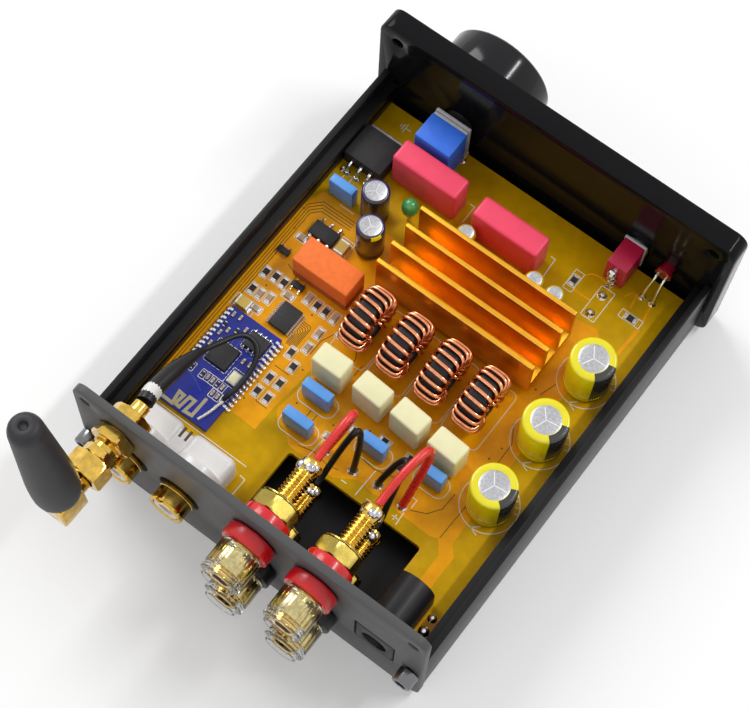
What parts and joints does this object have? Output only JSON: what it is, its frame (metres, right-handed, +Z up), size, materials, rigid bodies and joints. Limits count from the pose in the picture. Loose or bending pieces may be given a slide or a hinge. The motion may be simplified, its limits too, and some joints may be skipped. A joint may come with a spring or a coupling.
{
  "type": "bluetooth amplifier",
  "caption": "Small stereo bluetooth amplifier without its lid: tray, panels, board, filter coils, heatsink, volume knob, binding posts, phono inputs, power jack and swivel aerial.",
  "frame": {"origin": "under the middle of the tray, on the surface it stands on", "axes": "+Z up, +Y out of the rear panel, +X to the right seen from the front panel"},
  "size_m": [0.09, 0.1413, 0.065],
  "materials": {
    "black_anodised": "black anodised, satin",
    "black_panel": "black anodised, polished",
    "grey_panel": "matte dark grey",
    "screw_steel": "bright zinc or nickel",
    "board": "yellow solder mask on fibreglass",
    "module_board": "blue solder mask",
    "gold_anodised": "orange-gold anodised",
    "copper_wire": "enamelled copper, glossy",
    "core_powder": "black coated powder core",
    "cream_plastic": "satin",
    "pink_plastic": "satin",
    "yellow_sleeve": "glossy shrunk sleeve",
    "orange_plastic": "matte",
    "blue_plastic": "satin",
    "red_plastic": "glossy",
    "red_lens": "clear red resin",
    "black_plastic": "moulded",
    "white_plastic": "moulded, satin",
    "black_knob": "black anodised, turned",
    "clear_plastic": "clear moulded plastic",
    "gold_plated": "gold plated, polished",
    "aerial_rubber": "matte",
    "black_insulation": "soft sleeve",
    "red_insulation": "soft sleeve"
  },
  "bodies": {
    "case": {"chassis": "black_anodised", "front_panel": "black_panel", "rear_panel": "grey_panel", "rear_screw_1": "screw_steel", "rear_screw_2": "screw_steel", "front_screw_1": "screw_steel", "front_screw_2": "screw_steel", "main_board": "board", "bluetooth_module": "module_board", "amplifier_chip": "black_plastic", "heatsink": "gold_anodised", "relay": "orange_plastic", "toroid_core_1": "core_powder", "toroid_core_2": "core_powder", "toroid_core_3": "core_powder", "toroid_core_4": "core_powder", "toroid_winding_1": "copper_wire", "toroid_winding_2": "copper_wire", "toroid_winding_3": "copper_wire", "toroid_winding_4": "copper_wire", "film_capacitor_1": "cream_plastic", "film_capacitor_2": "cream_plastic", "film_capacitor_3": "cream_plastic", "film_capacitor_4": "cream_plastic", "coupling_capacitor_1": "pink_plastic", "coupling_capacitor_2": "pink_plastic", "reservoir_capacitor_1": "yellow_sleeve", "reservoir_capacitor_2": "yellow_sleeve", "reservoir_capacitor_3": "yellow_sleeve", "volume_pot": "blue_plastic", "switch_body": "red_plastic", "led": "red_lens", "dc_jack": "black_plastic", "rca_housing": "white_plastic", "rca_sleeve_1": "gold_plated", "rca_sleeve_2": "gold_plated", "post_insulator_1": "red_plastic", "post_insulator_2": "red_plastic", "post_insulator_3": "black_plastic", "post_insulator_4": "black_plastic", "post_stud_1": "gold_plated", "post_stud_2": "gold_plated", "post_stud_3": "gold_plated", "post_stud_4": "gold_plated", "sma_connector": "gold_plated", "aerial_coax": "black_insulation", "speaker_wire_red_1": "red_insulation", "speaker_wire_red_2": "red_insulation", "speaker_wire_black_1": "black_insulation", "speaker_wire_black_2": "black_insulation"},
    "knob": {"volume_knob": "black_knob", "pot_shaft": "screw_steel"},
    "lever": {"switch_lever": "screw_steel"},
    "cap_1": {"post_cap_1": "clear_plastic"},
    "cap_2": {"post_cap_2": "clear_plastic"},
    "cap_3": {"post_cap_3": "clear_plastic"},
    "cap_4": {"post_cap_4": "clear_plastic"},
    "coupling": {"coupling_nut": "gold_plated"},
    "antenna": {"antenna_elbow": "gold_plated", "antenna_mast": "aerial_rubber"}
  },
  "joints": [
    {"name": "volume_turn", "type": "hinge", "parent": "case", "child": "knob", "pos_m": [0.023, -0.05565, 0.0184], "axis": [0, 1, 0], "range_deg": [-150, 150]},
    {"name": "power_toggle", "type": "hinge", "parent": "case", "child": "lever", "pos_m": [-0.0242, -0.05625, 0.0165], "axis": [-1, 0, 0], "range_deg": [0, 24]},
    {"name": "post_cap_1_slide", "type": "slide", "parent": "case", "child": "cap_1", "axis": [0, 1, 0], "range_m": [0, 0.005]},
    {"name": "post_cap_2_slide", "type": "slide", "parent": "case", "child": "cap_2", "axis": [0, 1, 0], "range_m": [0, 0.005]},
    {"name": "post_cap_3_slide", "type": "slide", "parent": "case", "child": "cap_3", "axis": [0, 1, 0], "range_m": [0, 0.005]},
    {"name": "post_cap_4_slide", "type": "slide", "parent": "case", "child": "cap_4", "axis": [0, 1, 0], "range_m": [0, 0.005]},
    {"name": "coupling_turn", "type": "hinge", "parent": "case", "child": "coupling", "pos_m": [0.0325, 0.0612, 0.0284], "axis": [0, 1, 0], "continuous": true},
    {"name": "aerial_swivel", "type": "hinge", "parent": "case", "child": "antenna", "pos_m": [0.0325, 0.06915, 0.0284], "axis": [0, 1, 0], "range_deg": [-70, 80]}
  ]
}
